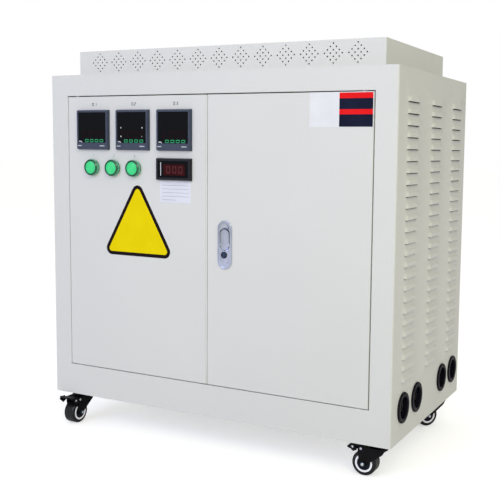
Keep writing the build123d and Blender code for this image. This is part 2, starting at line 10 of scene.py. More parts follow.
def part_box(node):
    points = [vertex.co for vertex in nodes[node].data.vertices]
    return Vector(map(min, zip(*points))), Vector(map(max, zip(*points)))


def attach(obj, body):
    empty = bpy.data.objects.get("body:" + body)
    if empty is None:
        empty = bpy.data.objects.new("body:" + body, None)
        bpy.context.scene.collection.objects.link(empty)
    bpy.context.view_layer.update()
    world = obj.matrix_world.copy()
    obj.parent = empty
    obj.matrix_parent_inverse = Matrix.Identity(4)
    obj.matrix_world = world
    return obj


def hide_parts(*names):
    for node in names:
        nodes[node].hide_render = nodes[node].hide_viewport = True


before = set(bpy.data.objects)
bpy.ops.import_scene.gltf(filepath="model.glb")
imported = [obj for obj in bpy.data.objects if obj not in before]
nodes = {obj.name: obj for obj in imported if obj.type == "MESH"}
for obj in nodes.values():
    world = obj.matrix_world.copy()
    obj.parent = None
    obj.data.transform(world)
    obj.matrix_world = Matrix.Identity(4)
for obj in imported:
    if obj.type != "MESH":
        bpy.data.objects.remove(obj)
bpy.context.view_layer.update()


# Cabinet frame, doors, roof, floor, rear and cowl: folded sheet steel with a stoved pale grey paint.
# The paint is nearly even. It has a fine orange-peel skin, and its gloss drifts a little from place to place.
# Sizes here and below are in metres.
def new_material(name, colour, roughness, metallic=0.0):
    """A material with its colour, roughness and metal share set on the shader's own sockets."""
    material = bpy.data.materials.new(name)
    material.use_nodes = True
    shader = material.node_tree.nodes["Principled BSDF"]
    shader.inputs["Base Color"].default_value = (*colour, 1)
    shader.inputs["Roughness"].default_value = roughness
    shader.inputs["Metallic"].default_value = metallic
    return material, material.node_tree, shader


def noise(tree, scale, detail=3.0):
    """A cloud pattern fixed to the piece, with a scale in clouds per metre."""
    place = tree.nodes.new("ShaderNodeTexCoord")
    cloud = tree.nodes.new("ShaderNodeTexNoise")
    cloud.inputs["Scale"].default_value = scale
    cloud.inputs["Detail"].default_value = detail
    tree.links.new(place.outputs["Object"], cloud.inputs["Vector"])
    return cloud.outputs["Fac"]


def vary(tree, value, low, high, socket):
    """Feeds a socket with a pattern stretched to run from low to high."""
    spread = tree.nodes.new("ShaderNodeMapRange")
    spread.inputs["From Min"].default_value = 0.3
    spread.inputs["From Max"].default_value = 0.7
    spread.inputs["To Min"].default_value = low
    spread.inputs["To Max"].default_value = high
    tree.links.new(value, spread.inputs["Value"])
    tree.links.new(spread.outputs["Result"], socket)


def tint(tree, value, first, second, socket):
    """Feeds a colour socket with a pattern that runs from one colour to the other."""
    ramp = tree.nodes.new("ShaderNodeValToRGB")
    ramp.color_ramp.elements[0].position = 0.35
    ramp.color_ramp.elements[1].position = 0.65
    ramp.color_ramp.elements[0].color = (*first, 1)
    ramp.color_ramp.elements[1].color = (*second, 1)
    tree.links.new(value, ramp.inputs["Fac"])
    tree.links.new(ramp.outputs["Color"], socket)


def relief(tree, value, shader, depth, strength=1.0):
    """Turns a pattern into a bump of a real depth in metres."""
    bump = tree.nodes.new("ShaderNodeBump")
    bump.inputs["Strength"].default_value = strength
    bump.inputs["Distance"].default_value = depth
    tree.links.new(value, bump.inputs["Height"])
    tree.links.new(bump.outputs["Normal"], shader.inputs["Normal"])


def give(material, *names):
    """Puts a material on CAD nodes."""
    for name in names:
        nodes[name].data.materials.clear()
        nodes[name].data.materials.append(material)


paint_light = (0.745, 0.752, 0.722)
paint_dark = (0.722, 0.729, 0.700)
cabinet_paint, tree, shader = new_material("cabinet_paint", paint_light, 0.42)
tint(tree, noise(tree, 2.5), paint_light, paint_dark, shader.inputs["Base Color"])
vary(tree, noise(tree, 7), 0.36, 0.50, shader.inputs["Roughness"])
relief(tree, noise(tree, 420, 2.0), shader, 0.00006, 0.35)
give(cabinet_paint, "front_top_rail", "front_bottom_rail", "front_left_post", "front_right_post")
give(cabinet_paint, "rear_panel", "roof_panel", "floor_panel", "left_door", "right_door")
give(cabinet_paint, "cowl_hood", "cowl_front_grille", "cowl_rear_grille")


# Side panels: one painted sheet a side, with three columns of 25 louvres pressed out of it.
# The flat sheet is cut out round each louvre and round the cable entries, and the hoods close the cuts.
louvre_length = 0.080
louvre_height = 0.014
louvre_depth = 0.005
louvre_pitch = 0.025
louvre_column_pitch = 0.163
louvre_first_column = 0.065
louvre_top_slit = 0.730
louvre_gap = 0.002
louvre_gap_length = 0.070
louvre_columns = 3
louvre_rows = 25
sheet_wall = 0.0015
flange_width = 0.020
flange_gap = 0.002
flank_share = 0.55
entry_hole_radius = 0.028
entry_hole_sides = 40
entry_ys = (-0.1786, -0.0882, 0.1008, 0.1905)
entry_z = 0.1534


def grid_faces(rows, columns):
    """The four-sided faces of a grid of points, numbered row by row."""
    first = np.arange(rows - 1)[:, None] * columns + np.arange(columns - 1)
    return np.stack([first, first + 1, first + columns + 1, first + columns], -1).reshape(-1, 4)


def louvre_grid(arc_steps=6, flat_steps=4, rings=8):
    """One hood as a grid, from its outline on the sheet to the slit's middle line.
    The outline is a straight run with a quarter circle at each end. The height is the depth of the hood
    times a smooth step, 3t^2 - 2t^3, where t runs from 0 at the outline to 1 where the flat top begins."""
    middle = louvre_length / 2 - louvre_height
    turn = np.linspace(0, math.pi / 2, arc_steps + 1)
    arc = np.stack([-middle - louvre_height * np.cos(turn), louvre_height * np.sin(turn)], -1)
    flat_x = np.linspace(-middle, middle, flat_steps + 1)[1:-1]
    flat = np.stack([flat_x, np.full_like(flat_x, louvre_height)], -1)
    outline = np.concatenate([arc, flat, arc[::-1] * (-1, 1)])
    centre = np.stack([np.clip(outline[:, 0], -middle, middle), np.zeros(len(outline))], -1)
    way = np.linspace(0, 1, rings + 1)[:, None]
    plan = outline + way[..., None] * (centre - outline)
    t = np.clip(way / flank_share, 0, 1)
    rise = np.broadcast_to(louvre_depth * t * t * (3 - 2 * t), plan.shape[:2])
    return np.concatenate([plan, rise[..., None]], -1), outline


def flat_sheet(width, height, cuts):
    """A rectangle with cuts, as corner points and triangles that keep every cut's edges.
    Each cut is a closed outline."""
    outline = np.array([(0, 0), (width, 0), (width, height), (0, height)])
    loops = [outline, *cuts]
    starts = np.cumsum([0] + [len(loop) for loop in loops])
    faces = [list(range(a, b)) for a, b in zip(starts[:-1], starts[1:])]
    points = [Vector(point) for point in np.concatenate(loops)]
    made = delaunay_2d_cdt(points, [], faces, 2, 1e-7)
    return np.array([tuple(point) for point in made[0]]), made[2]


def new_piece(name, mesh, material, body, sharp_angle=35):
    """A mesh made into a piece that rides on a body, smooth but for edges sharper than the angle."""
    mesh.polygons.foreach_set("use_smooth", np.ones(len(mesh.polygons), bool))
    mesh.set_sharp_from_angle(angle=math.radians(sharp_angle))
    mesh.materials.clear()
    mesh.materials.append(material)
    piece = bpy.data.objects.new(name, mesh)
    bpy.context.scene.collection.objects.link(piece)
    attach(piece, body)
    return piece


def mesh_of(name, points, faces, merge=1e-6):
    """A mesh from points and faces, with points that coincide merged and the normals turned outwards."""
    mesh = bpy.data.meshes.new(name)
    mesh.from_pydata(np.asarray(points).reshape(-1, 3).tolist(), [], [list(map(int, face)) for face in faces])
    work = bmesh.new()
    work.from_mesh(mesh)
    bmesh.ops.remove_doubles(work, verts=work.verts, dist=merge)
    bmesh.ops.dissolve_degenerate(work, edges=work.edges, dist=merge)
    bmesh.ops.recalc_face_normals(work, faces=work.faces)
    work.to_mesh(mesh)
    work.free()
    return mesh


def box_points(low, high):
    """The eight corners and six faces of a box."""
    pick = np.array([(i & 1, i >> 1 & 1, i >> 2 & 1) for i in range(8)])
    points = np.where(pick, high, low)
    faces = np.array([(0, 2, 3, 1), (4, 5, 7, 6), (0, 1, 5, 4), (2, 6, 7, 3), (0, 4, 6, 2), (1, 3, 7, 5)])
    return points, faces


def side_sheet(name, node, side):
    """One side's sheet, with a hood at every place of the pattern and a flange at its foot and its head.
    side is 1 for the right sheet, whose louvres stand out along +X, and -1 for the left one."""
    low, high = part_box(node)
    width, height = high.y - low.y, high.z - low.z
    hood, outline = louvre_grid()
    column_ys = louvre_first_column + louvre_column_pitch * np.arange(louvre_columns)
    slit_zs = louvre_top_slit - louvre_pitch * np.arange(louvre_rows)
    places = np.stack(np.meshgrid(column_ys, slit_zs, indexing="ij"), -1).reshape(-1, 2)
    gap_x = louvre_gap_length / 2
    gap = [(gap_x, 0), (gap_x, -louvre_gap), (-gap_x, -louvre_gap), (-gap_x, 0)]
    cuts = list(places[:, None] + np.concatenate([outline, gap]))
    if side > 0:
        turn = np.linspace(0, 2 * math.pi, entry_hole_sides, endpoint=False)
        circle = entry_hole_radius * np.stack([np.cos(turn), np.sin(turn)], -1)
        cuts += [circle + (y - low.y, entry_z - low.z) for y in entry_ys]
    flat, triangles = flat_sheet(width, height, cuts)
    points = [np.concatenate([flat, np.zeros((len(flat), 1))], -1)]
    faces = [list(face) for face in triangles]

    # One hood is copied to every place, with its faces turned round to point outwards as the sheet's do.
    hoods = hood[None] + np.concatenate([places, np.zeros((len(places), 1))], -1)[:, None, None]
    start = len(flat) + np.arange(len(places))[:, None, None] * hood.shape[0] * hood.shape[1]
    faces += (start + grid_faces(*hood.shape[:2])[:, ::-1]).reshape(-1, 4).tolist()
    points.append(hoods.reshape(-1, 3))
    local = np.concatenate(points)

    # The sheet is drawn at its outer face, and its wall is then given thickness inwards.
    outer_x = (high.x if side > 0 else -low.x) - louvre_depth
    world = np.stack([side * (outer_x + local[:, 2]), low.y + local[:, 0], low.z + local[:, 1]], -1)
    mesh = bpy.data.meshes.new(name)
    mesh.from_pydata(world.tolist(), [], [face if side > 0 else face[::-1] for face in faces])
    work = bmesh.new()
    work.from_mesh(mesh)
    bmesh.ops.remove_doubles(work, verts=work.verts, dist=2e-6)
    work.to_mesh(mesh)
    work.free()
    shell = bpy.data.objects.new(name + "_skin", mesh)
    bpy.context.scene.collection.objects.link(shell)
    solidify = shell.modifiers.new("wall", "SOLIDIFY")
    solidify.thickness = sheet_wall
    solidify.offset = -1
    bpy.context.view_layer.update()
    thick = bpy.data.meshes.new_from_object(shell.evaluated_get(bpy.context.evaluated_depsgraph_get()))
    bpy.data.objects.remove(shell)

    # The flanges are bent inwards along the sheet's foot and head.
    work = bmesh.new()
    work.from_mesh(thick)
    inner_x = outer_x - sheet_wall
    for z in (low.z + flange_gap, high.z - 2 * sheet_wall):
        near, far = sorted((side * inner_x, side * (inner_x - flange_width + sheet_wall)))
        corners, sides = box_points((near, low.y, z), (far, high.y - sheet_wall, z + sheet_wall))
        made = [work.verts.new(corner) for corner in corners]
        for face in sides:
            work.faces.new([made[i] for i in face])
    work.to_mesh(thick)
    work.free()
    sheet = new_piece(name, thick, cabinet_paint, "cabinet", 40)
    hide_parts(node)


side_sheet("right_side_sheet", "right_side_panel", 1)
side_sheet("left_side_sheet", "left_side_panel", -1)


# Three panel meters: blue-grey moulded cases with a dark window, and a plain band below it.
# The window holds a row of four green figures under a dim red one, as bars of seven segments.
case_plastic, tree, shader = new_material("meter_case", (0.050, 0.064, 0.102), 0.45)
shader.inputs["Specular IOR Level"].default_value = 0.30
tint(tree, noise(tree, 60), (0.046, 0.060, 0.096), (0.055, 0.069, 0.108), shader.inputs["Base Color"])
vary(tree, noise(tree, 140), 0.40, 0.52, shader.inputs["Roughness"])
relief(tree, noise(tree, 2600, 2.0), shader, 0.00003, 0.5)
give(case_plastic, "panel_meter_1", "panel_meter_2", "panel_meter_3")

dark_window, tree, shader = new_material("dark_window", (0.003, 0.004, 0.006), 0.12)
vary(tree, noise(tree, 30), 0.08, 0.16, shader.inputs["Roughness"])
shader.inputs["Specular IOR Level"].default_value = 0.10

green_figure, tree, shader = new_material("green_figure", (0.006, 0.17, 0.065), 0.35)
tint(tree, noise(tree, 300), (0.006, 0.15, 0.058), (0.008, 0.19, 0.075), shader.inputs["Base Color"])
shader.inputs["Emission Color"].default_value = (0.006, 0.26, 0.10, 1)
shader.inputs["Emission Strength"].default_value = 0.6

dim_red_figure, tree, shader = new_material("dim_red_figure", (0.013, 0.002, 0.003), 0.3)
tint(tree, noise(tree, 300), (0.011, 0.002, 0.003), (0.015, 0.002, 0.003), shader.inputs["Base Color"])
shader.inputs["Specular IOR Level"].default_value = 0.10

white_mark, tree, shader = new_material("white_mark", (0.62, 0.64, 0.68), 0.5)
tint(tree, noise(tree, 500), (0.56, 0.58, 0.62), (0.66, 0.68, 0.72), shader.inputs["Base Color"])

window_taper = 0.004
window_frame = 0.004
window_band = 0.015
window_recess = 0.0015
window_corner = 0.0015
window_gap = 0.0006
window_film = 0.0004
mark_height = 0.00025

# Each row of figures has its place from the meter's middle, and a figure's width, height, pitch and stroke.
green_row_x, green_row_z = 0.006, -0.0262
green_row_size = (0.0106, 0.0072, 0.0150, 0.0019)
red_row_x, red_row_z = 0.002, -0.0105
red_row_size = (0.0105, 0.0165, 0.0170, 0.0020)

# Each mark has its left, right, foot and top from the meter's middle. Only the second meter has the dots.
window_marks = [(-0.0405, -0.0330, -0.0292, -0.0268), (-0.0340, -0.0312, -0.0306, -0.0286)]
dot_xs, dot_zs = (-0.031, 0.031), (0.005, -0.0155)
dot_half_width, dot_half_height = 0.0013, 0.0016
band_mark_ends = [(-0.043, -0.032), (0.024, 0.038)]
band_mark_rise = 0.0095
band_mark_half_height = 0.0010


def prisms(outlines, near, far):
    """Upright prisms from outlines in X and Z, each an equal number of points, between two depths in Y.
    Their fronts and backs are whole faces, and a band of four-sided faces joins them."""
    outlines = np.asarray(outlines, float)
    count, corners = outlines.shape[:2]
    xs, zs = outlines[..., 0], outlines[..., 1]
    ends = [np.stack([xs, np.full_like(xs, y), zs], -1) for y in (near, far)]
    points = np.stack(ends, 1).reshape(-1, 3)
    base = np.arange(count)[:, None] * 2 * corners
    ring = np.arange(corners)
    after = np.roll(ring, -1)
    sides = np.stack([base + ring, base + after, base + after + corners, base + ring + corners], -1)
    faces = sides.reshape(-1, 4).tolist() + (base + ring).tolist() + (base + ring[::-1] + corners).tolist()
    return points, faces


def rounded_rectangle(x, z, width, height, radius, steps=6):
    """An outline of four quarter circles joined by straight edges."""
    turn = np.linspace(0, math.pi / 2, steps + 1)
    corner = np.stack([np.cos(turn), np.sin(turn)], -1) * radius
    half = np.array([width / 2 - radius, height / 2 - radius])
    first = corner + half
    second = corner[::-1] * (-1, 1) + half * (-1, 1)
    third = -corner - half
    fourth = corner[::-1] * (1, -1) + half * (1, -1)
    return np.concatenate([first, second, third, fourth]) + (x, z)


def flat_piece(name, outlines, face_y, thickness, material, body):
    """Flat pieces that stand out from a face towards the front by their thickness."""
    points, faces = prisms(outlines, face_y - thickness, face_y)
    return new_piece(name, mesh_of(name, points, faces), material, body)


def bar(x0, x1, z0, z1):
    """A rectangle's outline, anticlockwise from its lower left corner."""
    return [(x0, z0), (x1, z0), (x1, z1), (x0, z1)]


segments_of = {"0": "abcdef", "1": "bc", "2": "abged", "3": "abgcd"}
segment_gap = 0.15


def figures(text, x, z, width, height, pitch, stroke):
    """The bars of a row of seven-segment figures, centred on x and z.
    Bars a, g and d lie across at the top, middle and foot, and f, b, e and c stand at the sides.
    Each bar is one stroke thick and stops short of its neighbours by a share of the stroke."""
    bars = []
    gap = stroke * segment_gap
    left, foot = -width / 2, -height / 2
    right, head = width / 2 - stroke, height / 2 - stroke
    across = {"a": head, "g": -stroke / 2, "d": foot}
    upright = {"f": (left, 0), "b": (right, 0), "e": (left, foot), "c": (right, foot)}
    for place, figure in enumerate(text):
        middle = x + (place - (len(text) - 1) / 2) * pitch
        for key in segments_of[figure]:
            if key in across:
                bar_foot = z + across[key]
                bars.append(bar(middle + left + stroke + gap, middle - left - stroke - gap,
                                bar_foot, bar_foot + stroke))
            else:
                bar_left, bar_foot = upright[key]
                bars.append(bar(middle + bar_left, middle + bar_left + stroke,
                                z + bar_foot + gap, z + bar_foot - foot - gap))
    return bars


for number in (1, 2, 3):
    low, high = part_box(f"panel_meter_{number}")
    x, z = (low.x + high.x) / 2, (low.z + high.z) / 2
    size = high.x - low.x
    window_width = size - window_taper - 2 * window_frame
    window_height = size - window_taper - window_frame - window_band
    window_z = z + (window_band - window_frame) / 2
    floor_y = low.y + window_recess
    outline = rounded_rectangle(x, window_z, window_width - window_gap, window_height - window_gap,
                                window_corner)
    flat_piece(f"meter_window_{number}", [outline], floor_y, window_film, dark_window, "left_door")
    glass_y = floor_y - window_film
    green_row = figures("0000", x + green_row_x, z + green_row_z, *green_row_size)
    flat_piece(f"meter_green_figures_{number}", green_row, glass_y, mark_height, green_figure, "left_door")
    red_row = figures("0000", x + red_row_x, z + red_row_z, *red_row_size)
    flat_piece(f"meter_red_figures_{number}", red_row, glass_y, mark_height, dim_red_figure, "left_door")
    marks = [bar(x + left, x + right, z + foot, z + top) for left, right, foot, top in window_marks]
    if number == 2:
        marks += [bar(x + dot_x - dot_half_width, x + dot_x + dot_half_width,
                      z + dot_z - dot_half_height, z + dot_z + dot_half_height)
                  for dot_x in dot_xs for dot_z in dot_zs]
    flat_piece(f"meter_marks_{number}", marks, glass_y, mark_height, white_mark, "left_door")
    band_z = low.z + band_mark_rise
    band_marks = [bar(x + left, x + right, band_z - band_mark_half_height, band_z + band_mark_half_height)
                  for left, right in band_mark_ends]
    flat_piece(f"meter_band_marks_{number}", band_marks, low.y, mark_height, white_mark, "left_door")


# Strip meter: a black moulded case with a dark red window, three dim figures and a pale bar beside them.
# Its window is a film in the case's recess, as on the meters above it.
strip_case, tree, shader = new_material("strip_meter_case", (0.012, 0.013, 0.018), 0.35)
vary(tree, noise(tree, 120), 0.28, 0.42, shader.inputs["Roughness"])
shader.inputs["Specular IOR Level"].default_value = 0.25
relief(tree, noise(tree, 2600, 2.0), shader, 0.00003, 0.4)
give(strip_case, "strip_meter")

red_window, tree, shader = new_material("red_window", (0.036, 0.002, 0.004), 0.15)
tint(tree, noise(tree, 45), (0.028, 0.002, 0.004), (0.046, 0.003, 0.005), shader.inputs["Base Color"])
shader.inputs["Specular IOR Level"].default_value = 0.12

red_figure, tree, shader = new_material("red_figure", (0.090, 0.004, 0.006), 0.35)
tint(tree, noise(tree, 300), (0.075, 0.004, 0.006), (0.110, 0.005, 0.007), shader.inputs["Base Color"])

strip_glass_size = (0.0830, 0.0380)
strip_window_size = (0.060, 0.026)
strip_window_x, strip_window_z = 0.003, -0.001
strip_window_corner = 0.002
strip_figures_x, strip_figures_z = 0.004, -0.001
strip_scale_left, strip_scale_right, strip_scale_foot, strip_scale_top = -0.0355, -0.0335, -0.015, 0.016

low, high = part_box("strip_meter")
x, z = (low.x + high.x) / 2, (low.z + high.z) / 2
floor_y = low.y + window_recess
glass_y = floor_y - window_film
outline = rounded_rectangle(x, z, *strip_glass_size, window_corner)
flat_piece("strip_meter_glass", [outline], floor_y, window_film, dark_window, "left_door")
outline = rounded_rectangle(x + strip_window_x, z + strip_window_z, *strip_window_size, strip_window_corner)
flat_piece("strip_meter_window", [outline], glass_y, mark_height, red_window, "left_door")
row = figures("000", x + strip_figures_x, z + strip_figures_z, *red_row_size)
flat_piece("strip_meter_figures", row, glass_y - mark_height, mark_height, red_figure, "left_door")
scale = bar(x + strip_scale_left, x + strip_scale_right, z + strip_scale_foot, z + strip_scale_top)
flat_piece("strip_meter_scale", [scale], glass_y, mark_height, white_mark, "left_door")


# Three pilot lamps: a clear green moulded collar with a paler, finely ringed lens set in its front.
# The collar is the CAD node, and the lens is turned from a low dome with ripples. A dark ring on the
# collar's front holds the lens, and a pale band round the collar's side is a painted highlight: the side
# lamp's shine.
lamp_body, tree, shader = new_material("lamp_collar", (0.004, 0.135, 0.060), 0.16)
tint(tree, noise(tree, 80), (0.003, 0.115, 0.050), (0.006, 0.160, 0.072), shader.inputs["Base Color"])
vary(tree, noise(tree, 50), 0.12, 0.22, shader.inputs["Roughness"])
shader.inputs["Coat Weight"].default_value = 0.6
give(lamp_body, "pilot_lamp_1", "pilot_lamp_2", "pilot_lamp_3")

lamp_lens, tree, shader = new_material("lamp_lens", (0.040, 0.680, 0.220), 0.28)
tint(tree, noise(tree, 220), (0.030, 0.640, 0.200), (0.055, 0.730, 0.250), shader.inputs["Base Color"])
shader.inputs["Emission Color"].default_value = (0.05, 0.72, 0.28, 1)
shader.inputs["Emission Strength"].default_value = 0.12
relief(tree, noise(tree, 900, 1.0), shader, 0.00010, 0.5)

lamp_rim, tree, shader = new_material("lamp_rim", (0.002, 0.045, 0.022), 0.30)
vary(tree, noise(tree, 200), 0.24, 0.36, shader.inputs["Roughness"])
# The pale band's colour is a painted highlight, standing in for the side lamp's reflection on the collar's
# side.
lamp_painted_highlight, tree, shader = new_material("lamp_painted_highlight", (0.10, 0.50, 0.28), 0.25)
tint(tree, noise(tree, 150), (0.08, 0.44, 0.24), (0.14, 0.58, 0.34), shader.inputs["Base Color"])

# Profiles are pairs of a radius and a height along the axis.
rim_ring_profile = [(0.0159, 0.0), (0.0159, 0.0004), (0.0164, 0.0007), (0.0174, 0.0007), (0.0179, 0.0004),
                    (0.0179, 0.0), (0.0159, 0.0)]
highlight_band_profile = [(0.0193, 0.0040), (0.0197, 0.0040), (0.01985, 0.0046), (0.01985, 0.0078),
                     (0.0197, 0.0084), (0.0193, 0.0084), (0.0193, 0.0040)]
lens_radius = 0.0158
lens_foot = 0.0016
lens_dome = 0.0017
lens_ripple = 0.00012
lens_rings = 9
lens_steps = 60
lens_seat = 0.0002


def turned(profile, centre, axis, across, steps=64):
    """A turned form. Each pair of the profile, a radius and a height, is carried round the axis in a circle:
    the centre, plus the height along the axis, plus the radius times the turn's cosine across it and times
    the turn's sine beside it."""
    profile = np.asarray(profile, float)
    axis, across = np.asarray(axis, float), np.asarray(across, float)
    beside = np.cross(axis, across)
    turn = np.linspace(0, 2 * math.pi, steps + 1)
    ray = np.cos(turn)[:, None] * across + np.sin(turn)[:, None] * beside
    points = np.asarray(centre, float) + profile[:, None, 1:] * axis + profile[:, None, :1] * ray
    return points, grid_faces(len(profile), steps + 1)


for number in (1, 2, 3):
    low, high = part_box(f"pilot_lamp_{number}")
    centre = ((low.x + high.x) / 2, low.y + lens_foot, (low.z + high.z) / 2)
    radius = np.linspace(lens_radius, 0, lens_steps)
    rise = lens_dome * (1 - (radius / lens_radius) ** 2)
    rise = rise + lens_ripple * np.sin(radius / lens_radius * lens_rings * 2 * math.pi) + lens_seat
    profile = np.stack([radius, rise], -1)
    profile = np.concatenate([[(0, -lens_seat), (lens_radius, -lens_seat)], profile])
    points, faces = turned(profile, centre, (0, -1, 0), (1, 0, 0))
    name = f"lamp_lens_{number}"
    new_piece(name, mesh_of(name, points, faces), lamp_lens, "left_door")
    face = (centre[0], low.y, centre[2])
    points, faces = turned(rim_ring_profile, face, (0, -1, 0), (1, 0, 0))
    new_piece(f"lamp_rim_{number}", mesh_of("lamp_rim", points, faces), lamp_rim, "left_door")
    # The pale band round the collar's side is a painted highlight.
    points, faces = turned(highlight_band_profile, face, (0, 1, 0), (1, 0, 0))
    band = mesh_of("lamp_highlight_band", points, faces)
    new_piece(f"lamp_highlight_band_{number}", band, lamp_painted_highlight, "left_door")


# Bare plates on the doors: a yellow three-cornered plate with a dark border, a ruled white label, and a pair
# of plates, one white and one in red and dark bands. They are thin plastic films stuck to the paint.
# Plain numbers stand over the meters and the lamps.
def print_film(name, first, second, roughness=0.38):
    """A printed plastic film: one colour with faint clouds, and a smooth gloss."""
    material, tree, shader = new_material(name, first, roughness)
    tint(tree, noise(tree, 25), first, second, shader.inputs["Base Color"])
    vary(tree, noise(tree, 90), roughness - 0.05, roughness + 0.05, shader.inputs["Roughness"])
    shader.inputs["Specular IOR Level"].default_value = 0.05
    return material


yellow_film = print_film("yellow_film", (0.87, 0.69, 0.001), (0.90, 0.72, 0.002))
black_film = print_film("black_film", (0.009, 0.005, 0.007), (0.013, 0.008, 0.010))
white_film = print_film("white_film", (0.80, 0.81, 0.84), (0.84, 0.85, 0.88))
red_film = print_film("red_film", (0.82, 0.010, 0.012), (0.87, 0.014, 0.016))
dark_film = print_film("dark_film", (0.008, 0.010, 0.028), (0.011, 0.014, 0.036))
label_film = print_film("label_film", (0.77, 0.79, 0.86), (0.80, 0.82, 0.89))

door_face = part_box("right_door")[0].y
film = 0.0003
body_left = -0.4575
body_foot = 0.082


def rounded_triangle(x, z_top, z_bottom, width, radius, inset=0.0, steps=8):
    """A three-cornered outline, point up, whose corners are arcs. inset moves every edge inwards.
    Each arc's centre lies on its corner's bisector, at the radius over the sine of half the angle, and
    the arc turns by half the angle's complement to either side of the bisector."""
    corners = np.array([(x, z_top), (x - width / 2, z_bottom), (x + width / 2, z_bottom)])
    centre = corners.mean(0)
    following = np.roll(corners, -1, 0)
    previous = np.roll(corners, 1, 0)
    ahead = (following - corners) / np.linalg.norm(following - corners, axis=1)[:, None]
    behind = (previous - corners) / np.linalg.norm(previous - corners, axis=1)[:, None]
    middle = (ahead + behind) / np.linalg.norm(ahead + behind, axis=1)[:, None]
    half = np.arccos((ahead * middle).sum(1))
    hub = corners + middle * (radius / np.sin(half))[:, None]
    reach = radius - inset
    start = np.arctan2(-middle[:, 1], -middle[:, 0])
    sweep = math.pi / 2 - half
    turn = start[:, None] + sweep[:, None] * np.linspace(-1, 1, steps + 1)
    arcs = hub[:, None] + reach * np.stack([np.cos(turn), np.sin(turn)], -1)
    outline = arcs.reshape(-1, 2)
    order = np.argsort(np.arctan2(outline[:, 1] - centre[1], outline[:, 0] - centre[0]))
    return outline[order]


sign_x = body_left + 0.262
sign_top = body_foot + 0.5525
sign_bottom = body_foot + 0.3655
sign_width = 0.210
sign_corner = 0.016
sign_border = 0.0085
outer = rounded_triangle(sign_x, sign_top, sign_bottom, sign_width, sign_corner)
inner = rounded_triangle(sign_x, sign_top, sign_bottom, sign_width, sign_corner, sign_border)
flat_piece("sign_plate", [outer], door_face, film, black_film, "left_door")
flat_piece("sign_field", [inner], door_face - film, film / 2, yellow_film, "left_door")

label_x = body_left + 0.3705
label_z = body_foot + 0.5233
label_width = 0.087
label_height = 0.0493
label_corner = 0.001
label = rounded_rectangle(label_x, label_z, label_width, label_height, label_corner)
flat_piece("meter_label", [label], door_face, film, label_film, "left_door")

grey_ink, tree, shader = new_material("grey_ink", (0.34, 0.36, 0.42), 0.5)
tint(tree, noise(tree, 200), (0.31, 0.33, 0.39), (0.38, 0.40, 0.46), shader.inputs["Base Color"])
line_left = label_x - 0.037
line_height = 0.0008
line_lengths = (0.074, 0.074, 0.074, 0.074, 0.040)
line_rises = (0.5385, 0.5300, 0.5215, 0.5130, 0.5045)
label_lines = [bar(line_left, line_left + length, body_foot + rise, body_foot + rise + line_height)
               for length, rise in zip(line_lengths, line_rises)]
flat_piece("label_lines", label_lines, door_face - film, film / 2, grey_ink, "left_door")

dark_ink, tree, shader = new_material("dark_ink", (0.060, 0.064, 0.080), 0.5)
tint(tree, noise(tree, 200), (0.052, 0.056, 0.070), (0.070, 0.074, 0.090), shader.inputs["Base Color"])
meter_caption_places = {"01": 0.1340, "02": 0.2525, "03": 0.3720}
meter_caption_rise = 0.7282
meter_caption_size = (0.0052, 0.0075, 0.0078, 0.0013)
captions = []
for text, place in meter_caption_places.items():
    captions += figures(text, body_left + place, body_foot + meter_caption_rise, *meter_caption_size)
flat_piece("meter_captions", captions, door_face, film / 2, dark_ink, "left_door")

lamp_caption_places = {"1": 0.1295, "2": 0.1925, "3": 0.2535}
lamp_caption_rise = 0.6057
lamp_caption_size = (0.0036, 0.0058, 0.0060, 0.0010)
captions = []
for text, place in lamp_caption_places.items():
    captions += figures(text, body_left + place, body_foot + lamp_caption_rise, *lamp_caption_size)
flat_piece("lamp_captions", captions, door_face, film / 2, grey_ink, "left_door")

plate_low = body_foot + 0.674
plate_high = body_foot + 0.747
white_left = body_left + 0.7154
band_left = body_left + 0.7843
band_right = body_left + 0.8612
band_margin = 0.0012
plate = bar(white_left, band_left, plate_low, plate_high)
flat_piece("white_plate", [plate], door_face, film, white_film, "right_door")
plate = bar(band_left, band_right, plate_low, plate_high)
flat_piece("banded_plate", [plate], door_face, film, white_film, "right_door")
band_levels = [body_foot + rise for rise in (0.7455, 0.7336, 0.7111, 0.7004, 0.6748)]
bands = [bar(band_left, band_right - band_margin, foot, top)
         for top, foot in zip(band_levels, band_levels[1:])]
flat_piece("red_bands", bands[::2], door_face - film, film / 2, red_film, "right_door")
flat_piece("dark_bands", bands[1::2], door_face - film, film / 2, dark_film, "right_door")


# Door seals: thin pale beads in the gaps round the doors. Three stand on the frame and one on the left door.
# Each is a box of the paint's colour, half a millimetre behind the doors' faces.
seal_front = -0.2495
seal_back = -0.2472
opening_x = 0.4075

# Each seal has its lower left and upper right corners in X and Z, and the body that carries it.
seal_boxes = {"left_seal": ((-0.4077, 0.1600), (-0.4059, 0.8290), "cabinet"),
              "bottom_seal": ((-opening_x, 0.1568), (opening_x, 0.1583), "cabinet"),
              "top_seal": ((-opening_x, 0.8314), (opening_x, 0.8322), "cabinet"),
              "seam_seal": ((-0.0017, 0.1620), (0.0004, 0.8270), "left_door")}
seal_paint, tree, shader = new_material("seal_grey", (0.76, 0.77, 0.75), 0.5)
tint(tree, noise(tree, 40), (0.74, 0.75, 0.73), (0.79, 0.80, 0.78), shader.inputs["Base Color"])
for name, ((x0, z0), (x1, z1), body) in seal_boxes.items():
    points, faces = box_points((x0, seal_front, z0), (x1, seal_back, z1))
    new_piece(name, mesh_of(name, points, faces), seal_paint, body)


